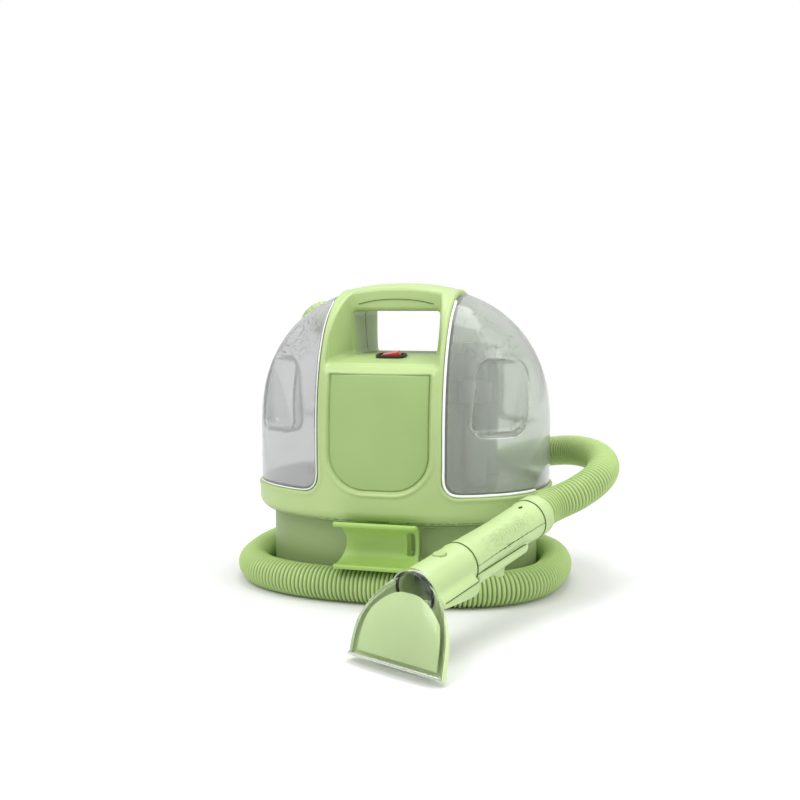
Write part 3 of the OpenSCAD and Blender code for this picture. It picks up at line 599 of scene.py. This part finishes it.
NECK = np.array([67.7, -245.0, 52.6])
HEADING, RISE = math.radians(64.9), math.radians(10.4)
WX = np.array([math.cos(RISE) * math.cos(HEADING), math.cos(RISE) * math.sin(HEADING),
               math.sin(RISE)])
WY = np.array([-math.sin(HEADING), math.cos(HEADING), 0])
WZ = np.cross(WX, WY)
WAND_R = 17.5
BORE_R = 15.3
# Along the wand from the neck: the socket's end, the middle of the wand's waist, then the ends
# of the wand and the cuff.
SOCKET_END, WAIST, WAND_END, CUFF_END = 60.0, 112.0, 163.0, 178.0
LATCH_X = 36.0
TRIGGER_SLOT_X = 100.0


def in_wand(fn):
    """fn takes the wand's own coordinates; X runs up the wand from the neck."""
    def world_fn(x, y, z):
        p, q, r = x - NECK[0], y - NECK[1], z - NECK[2]
        return fn(p * WX[0] + q * WX[1] + r * WX[2], p * WY[0] + q * WY[1],
                  p * WZ[0] + q * WZ[1] + r * WZ[2])
    return world_fn


def wand_point(x, y, z):
    """A point given in the wand's coordinates, in the frame's."""
    return NECK + x * WX + y * WY + z * WZ


def wand_skin(x, r):
    """Outer profile of the wand along its length: beads at its joints, and a waist."""
    swell = ridge(x, 57, 3.0, 0.5) + ridge(x, 64, 3.0, 0.5)
    swell = swell + ridge(x, 160, 2.5, 0.6)
    return r - WAND_R - swell + ridge(x, WAIST, 34, 0.9)


def socket(x, y, z):
    """The nozzle's socket, with the spray line's bulge and the latch button's hole."""
    r = np.hypot(y, z)
    solid = both(both(wand_skin(x, r), x - (SOCKET_END - 0.1), 1.0), 4.3 - x, 1.0)
    line = np.hypot(y + 13, z + 12) - 10.5
    solid = either(solid, both(both(line, x - 54, 3), 5 - x, 3), 3)
    solid = np.maximum(solid, 14.1 - r)
    button = np.maximum(np.hypot(x - LATCH_X, y) - 5.25, 10 - z)
    return carved(solid, button, 0.6)


def wand_half(side):
    """The wand's upper (side 1) or lower (side -1) shell."""
    def fn(x, y, z):
        r = np.hypot(y, z)
        skin = wand_skin(x, r)
        if side < 0:
            t = rising(x - SOCKET_END, 74)
            rib = np.sqrt((y + 11.6 - 1.6 * t) ** 2 + (z + 11 + 1.2 * t) ** 2
                          + np.maximum(x - 133, 0) ** 2) - 6.3
            skin = either(skin, rib, 0.6)
        solid = both(both(skin, x - (WAND_END - 0.1), 0.9), (SOCKET_END + 0.4) - x, 1.0)
        solid = np.maximum(solid, BORE_R - r)
        solid = both(solid, 0.12 - z * side, 0.5)
        if side < 0:
            slot = box_3d(x - TRIGGER_SLOT_X, y, z + 17, 22, 5.6, 8, 2)
            solid = carved(solid, slot, 0.8)
        return solid
    return fn


def cuff(x, y, z):
    """The hose's cuff, with shallow ribs to grip."""
    r = np.hypot(y, z)
    rib = 0.35 * np.cos((x - WAND_END) * 2 * np.pi / 5.0)
    solid = both(r - WAND_R - 0.5 - rib * (x < CUFF_END - 2), x - CUFF_END, 1.4)
    solid = both(solid, (WAND_END + 0.2) - x, 0.9)
    return np.maximum(solid, 13.2 - r)


MOUTH_MID = np.array([61.0, -273.0, 3.6])
MOUTH_DIR = np.array([0.90, -0.43, 0.0])
MOUTH_OUT = np.array([-0.384, -0.804, 0.451])
MOUTH_W, MOUTH_DEPTH = 91.0, 15.0
BELL = 3.3                              # how late the head narrows towards the neck
BULGE = 4                               # how far its middle swells outwards
SQUARE_W, SQUARE_DEPTH = 0.6, 0.8       # below 1, the mouth's ring is squarer than an ellipse
NECK_MID = wand_point(4, 0, 0)


def head_point(t, f, off):
    """Point on the head at angle t in degrees and f from mouth to neck, drawn in by off."""
    t = np.radians(t)
    c, s = np.cos(t)[..., None], np.sin(t)[..., None]
    f = np.asarray(f, float)[..., None]
    g = np.clip(f, 0, 1) ** BELL
    w, d, r = MOUTH_W / 2 - off, MOUTH_DEPTH / 2 - off, WAND_R - off
    return (MOUTH_MID * (1 - f) + NECK_MID * f + BULGE * np.sin(np.pi * f) * MOUTH_OUT
            - w * np.sign(c) * np.abs(c) ** SQUARE_W * (1 - g) * MOUTH_DIR + r * c * g * WY
            + d * np.sign(s) * np.abs(s) ** SQUARE_DEPTH * (1 - f) * MOUTH_OUT
            + r * s * f * WZ)


def plate_faces(n_outer, n_inner, turned=False):
    """Faces of a closed thin plate, from its outer grid of points and then its inner one."""
    m = n_outer * n_inner
    i, k = np.meshgrid(np.arange(n_outer - 1), np.arange(n_inner - 1), indexing="ij")
    a = (i * n_inner + k).ravel()
    quad = np.stack([a, a + n_inner, a + n_inner + 1, a + 1], 1)
    sign = 1
    if turned:
        quad = quad[:, [0, 3, 2, 1]]
        sign = -1
    faces = [quad, quad[:, ::-1] + m]
    row, column = np.arange(n_inner), np.arange(n_outer) * n_inner
    for line, turn in ((row, 1), ((n_outer - 1) * n_inner + row, -1),
                       (column, -1), (column + n_inner - 1, 1)):
        edge = np.stack([line[:-1], line[1:], line[1:] + m, line[:-1] + m], 1)
        faces.append(edge[:, ::turn * sign])
    return np.concatenate(faces)


def head_sheet(t0, t1, f_low, f_high, off_out, off_in, nt, nf):
    """A curved plate of the head between two angles and two depths, as points and faces."""
    t, f = np.meshgrid(np.linspace(t0, t1, nt), np.linspace(0, 1, nf), indexing="ij")
    f = f_low(t) + (f_high(t) - f_low(t)) * f
    outer = head_point(t, f, off_out).reshape(-1, 3)
    inner = head_point(t, f, off_in).reshape(-1, 3)
    return np.vstack([outer, inner]), plate_faces(nt, nf)


def joined(parts):
    """Several sheets as one list of points and one of faces."""
    verts, faces, base = [], [], 0
    for v, f in parts:
        verts.append(v)
        faces.append(np.asarray(f) + base)
        base += len(v)
    return np.vstack(verts), [q for f in faces for q in f.tolist()]


def level(value):
    """A straight edge for a head sheet: the same depth at every angle."""
    return lambda t: np.full_like(t, value)


def soften(obj, width, angle=40):
    """Bevel the edges that are sharper than this many degrees."""
    mod = obj.modifiers.new("soft_edges", "BEVEL")
    mod.width = width * MM
    mod.segments = 2
    mod.limit_method = "ANGLE"
    mod.angle_limit = math.radians(angle)
    mod.harden_normals = True
    return obj


def thin_line(name, points, radius, body):
    """A fine moulding line through the points, half sunk in the surface; its near-black colour is
    painted shade in the narrow groove it marks.
    """
    line, _ = even(catmull(points, 12), 1.2)
    obj = sweep(name, line, np.full(len(line), radius), 8)
    dress(obj, groove_shade_dark, body)
    return obj


# ---------- the moulded pieces ----------

piece("body_front", front_half, (-150, -110, 66), (150, 10, 294), 1.5, green, "base",
      ["front_shell"])
piece("body_rear", rear_half, (-150, 6, 66), (150, 110, 294), 1.5, green, "base",
      ["rear_shell"])
piece("panel_front", panel, (-52, -110, 96), (52, -60, 210), 1.2, green_panel, "base",
      ["front_panel"])
piece("tank_left", left_tank, (-149, -109, 94), (-56, 109, 292), 1.55, smoke_left,
      "clean_tank", ["clean_tank_shell", "clean_tank_wall"])
piece("tank_right", right_tank, (56, -109, 94), (149, 109, 292), 1.55, smoke_right,
      "dirty_tank", ["dirty_tank_shell", "dirty_tank_wall"])
piece("drum", drum, (-135, -94, -3), (135, 94, 73), 1.6, drum_painted_shade_green, "base",
      ["hose_drum"])
piece("clip_cradle", clip, (-42, -130, 30), (48, -86, 80), 0.85, green_clip, "base",
      ["tool_clip"])

wand_low, wand_high = (40, -262, 42), (172, -74, 112)      # a box round the posed wand
piece("wand_upper", in_wand(wand_half(1)), wand_low, wand_high, 1.2, green_wand, "wand",
      ["wand_upper_shell"])
piece("wand_lower", in_wand(wand_half(-1)), wand_low, wand_high, 1.2, green_wand, "wand",
      ["wand_lower_shell"])
piece("cuff", in_wand(cuff), wand_low, wand_high, 1.1, green_wand, "wand",
      ["hose_cuff"])
piece("socket", in_wand(socket), wand_low, wand_high, 1.1, green_wand, "nozzle",
      [])


def tongue_top(t):
    """The tongue's rounded upper edge, as a depth at each angle."""
    return 0.80 - 0.24 * np.abs(np.cos(np.radians(t))) ** 2.2


# The bell-shaped head: an open back with a tongue inside, and the clear window over it.
back = head_sheet(163, 377, level(0.0), level(1.0), 0.0, 2.4, nt=120, nf=60)
tongue = head_sheet(22, 158, level(0.075), tongue_top, 5.6, 7.2, nt=72, nf=50)
head = new_object("head", *joined([back, tongue]))
dress(soften(head, 0.5), green_head, "nozzle")
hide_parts("nozzle_body")

pane = head_sheet(18, 162, level(0.0), level(0.985), 0.0, 2.0, nt=110, nf=60)
window = new_object("head_window", *pane)
dress(soften(window, 0.6), clear, "nozzle")
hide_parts("nozzle_window")


def collar(name, x0, x1, r0, r1, t0, t1, mat):
    """Part of a ring round the neck, between two radii and two angles."""
    nt, nk = 60, 8
    t, k = np.meshgrid(np.radians(np.linspace(t0, t1, nt)), np.linspace(0, 1, nk),
                       indexing="ij")
    x = x0 + (x1 - x0) * k

    def skin(r):
        return (NECK + x[..., None] * WX + (r * np.cos(t))[..., None] * WY
                + (r * np.sin(t))[..., None] * WZ).reshape(-1, 3)

    crown = r1 + 0.5 * np.sin(np.pi * k)
    verts = np.vstack([skin(crown), skin(r0 + 0 * k)])
    obj = new_object(name, verts, plate_faces(nt, nk, turned=True).tolist())
    dress(soften(obj, 0.4), mat, "nozzle")
    return obj


# ---------- painted edge highlights, and seams, grooves and rings drawn dark as painted shade ---


def dome_front(x, z, off):
    """Half depth of the dome at x and z, drawn in by off."""
    left = 1 - (abs(x) / (HW - off)) ** POWER - (max(z - DOME_Z, 0) / (DOME_H - off)) ** POWER
    return (HD - off) * max(left, 0) ** (1 / POWER)


HIGHLIGHT_SUNK = 0.9                         # the highlight stripes' middle line lies this far inside the dome
SEAM_OUT = 0.35                         # the wand's rings lie this far outside its skin


def paint_tank_highlight(name, side, radius, body):
    """Painted highlight: a near-white stripe along the rounded edge where a tank meets the tower
    and the tray.
    """
    # X and Z up the edge beside the tower, round the fillet and along the foot.
    flat = [(59.6, z) for z in (272, 258, 240, 215, 190, 165, 140, 124, 113.5)]
    flat += [(61.2, 105.6), (66.2, 100.2), (74, 98.4)]
    flat += [(x, 98.2) for x in (86, 100, 114, 126, 135)]
    for face in (-1, 1):
        points = [(side * x, face * dome_front(x, z, HIGHLIGHT_SUNK), z) for x, z in flat]
        line, _ = even(catmull(points, 10), 1.5)
        obj = sweep(f"{name}_{'front' if face < 0 else 'rear'}", line,
                    np.full(len(line), radius), 10)
        dress(obj, highlight_white, body)


paint_tank_highlight("tank_highlight_left", -1, 0.6, "clean_tank")
paint_tank_highlight("tank_highlight_right", 1, 1.25, "dirty_tank")
# The dark lines below are painted shade in the mouldings' grooves, seams and vent.
thin_line("arch_seam", [(-37, -36.4, 269.6), (-20, -36.7, 273), (0, -36.8, 274.2),
                        (20, -36.7, 273), (37, -36.4, 269.6)], 0.3, "base")


def wand_ring(name, x, r, body):
    """A seam round the wand, drawn as a dark line of painted shade."""
    turn = np.linspace(0, 2 * np.pi, 49)
    points = [wand_point(x, r * math.cos(a), r * math.sin(a)) for a in turn]
    thin_line(name, points, 0.32, body)


wand_ring("seam_near", SOCKET_END + 0.2, WAND_R + SEAM_OUT, "wand")
wand_ring("seam_far", WAND_END, WAND_R + SEAM_OUT, "wand")
thin_line("wand_groove", [wand_point(*q) for q in (
    (61, -16.6, -6.7), (80, -16.4, -7.25), (100, -16.1, -7.8), (120, -15.8, -8.35),
    (131, -15.6, -8.9), (137.8, -13.9, -11.5), (139.6, -10.8, -14.5), (137.8, -7.6, -16.4),
    (131, -5.6, -17.2), (120, -5.4, -17.3))], 0.45, "wand")
thin_line("socket_groove", [wand_point(x, -22.9, -8.4) for x in (9, 24, 38, 52)], 0.4, "nozzle")
thin_line("wand_vent", [wand_point(146, -3.2, 17.3), wand_point(147.5, -3.6, 17.25),
                        wand_point(149, -4.0, 17.2)], 0.9, "wand")

collar("neck_collar", -2.6, 4.2, WAND_R - 0.1, WAND_R + 1.0, 22, 162, clear)
mouth = [head_point(t, 0.012, -0.35) for t in np.linspace(20, 160, 60)]
lip_line, _ = even(np.array(mouth), 1.0)
comb = 1.15 + 0.22 * np.cos(np.arange(len(lip_line)) * 2 * np.pi / 4)    # a tooth each 4 mm
mouth_lip = sweep("mouth_lip", lip_line, comb, 10)
dress(mouth_lip, lip_grey, "nozzle")
collar("neck_seal", 0.6, 3.2, WAND_R - 1.2, WAND_R + 0.2, -90, 270, rubber)

# ---------- the hose's dress ----------

hose.data.materials.append(green_hose)
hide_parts("flex_hose")
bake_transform(hose)

# ---------- carried-over CAD pieces ----------

# Each CAD node that is still seen takes the material that its slot's name asks for.
BY_SLOT = {"green_plastic": green, "green_hose": green_hose, "clear_smoke": frosted,
           "clear_window": clear, "clear_tube": frosted, "black_plastic": black,
           "grey_plastic": grey, "red_plastic": red, "steel": steel, "spring_steel": steel,
           "black_rubber": rubber}
WELD_M = 0.00002
FINELY_CUT = 1500                       # a node with more faces is too finely cut to bevel

for name, obj in nodes.items():
    used = obj.data.materials[0].name if obj.data.materials else ""
    key = next((k for k in sorted(BY_SLOT, key=len, reverse=True) if k in used), None)
    mat = BY_SLOT.get(key, grey)
    obj.data.materials.clear()
    obj.data.materials.append(mat)
    weld = obj.modifiers.new("weld", "WELD")
    weld.merge_threshold = WELD_M
    if len(obj.data.polygons) < FINELY_CUT:
        soften(obj, 0.35, 35)

# ---------- stage ----------

# The floor is paper near the object and turns into plain white further off.
NEAR_M, FAR_M = 0.30, 0.85

bpy.ops.mesh.primitive_plane_add(size=60, location=(0, 10, 0))
floor = bpy.context.active_object
floor.name = "floor"
floor_mat = plastic("floor_paper", (0.80, 0.80, 0.81), rough=0.95, vary=0.003, bump=0.0,
                    spec=0.05)
ft = floor_mat.node_tree
place = node(ft, "ShaderNodeNewGeometry")
away = node(ft, "ShaderNodeVectorMath", operation="LENGTH")
ft.links.new(place.outputs["Position"], away.inputs[0])
glow = node(ft, "ShaderNodeMapRange")
glow.inputs["From Min"].default_value = NEAR_M
glow.inputs["From Max"].default_value = FAR_M
ft.links.new(away.outputs["Value"], glow.inputs["Value"])
paper = node(ft, "ShaderNodeEmission", Strength=1.0)
blend = node(ft, "ShaderNodeMixShader")
ft.links.new(glow.outputs["Result"], blend.inputs[0])
ft.links.new(ft.nodes["Principled BSDF"].outputs[0], blend.inputs[1])
ft.links.new(paper.outputs[0], blend.inputs[2])
ft.links.new(blend.outputs[0], ft.nodes["Material Output"].inputs["Surface"])
floor.data.materials.append(floor_mat)

# The sky is brighter overhead; the camera sees plain white instead.
world = bpy.data.worlds.new("studio")
scene.world = world
world.use_nodes = True
wt = world.node_tree
sky = wt.nodes["Background"]
where = node(wt, "ShaderNodeTexCoord")
split = node(wt, "ShaderNodeSeparateXYZ")
wt.links.new(where.outputs["Generated"], split.inputs["Vector"])
fall = node(wt, "ShaderNodeMapRange")
fall.inputs["From Min"].default_value = -0.1
fall.inputs["From Max"].default_value = 1.0
fall.inputs["To Min"].default_value = 0.5
fall.inputs["To Max"].default_value = 1.1
wt.links.new(split.outputs["Z"], fall.inputs["Value"])
seen = node(wt, "ShaderNodeLightPath")
pick = node(wt, "ShaderNodeMix", data_type="FLOAT")
wt.links.new(seen.outputs["Is Camera Ray"], pick.inputs[0])
wt.links.new(fall.outputs["Result"], pick.inputs[2])
pick.inputs[3].default_value = 1.0
wt.links.new(pick.outputs[0], sky.inputs["Strength"])
sky.inputs["Color"].default_value = (1, 1, 1, 1)


def area_light(name, place, target, size, power):
    """A rectangular light at place, facing target."""
    data = bpy.data.lights.new(name, "AREA")
    data.shape = "RECTANGLE"
    data.size, data.size_y = size
    data.energy = power
    obj = bpy.data.objects.new(name, data)
    scene.collection.objects.link(obj)
    obj.location = place
    obj.rotation_euler = (Vector(target) - Vector(place)).to_track_quat("-Z", "Y").to_euler()


area_light("key", (-0.7, -1.0, 1.5), (0, 0, 0.12), (0.8, 0.8), 11)
area_light("top", (0.3, 0.2, 1.7), (0, 0, 0.1), (1.0, 1.0), 12)
area_light("side", (1.4, -0.3, 0.8), (0, 0, 0.15), (0.5, 1.1), 5)
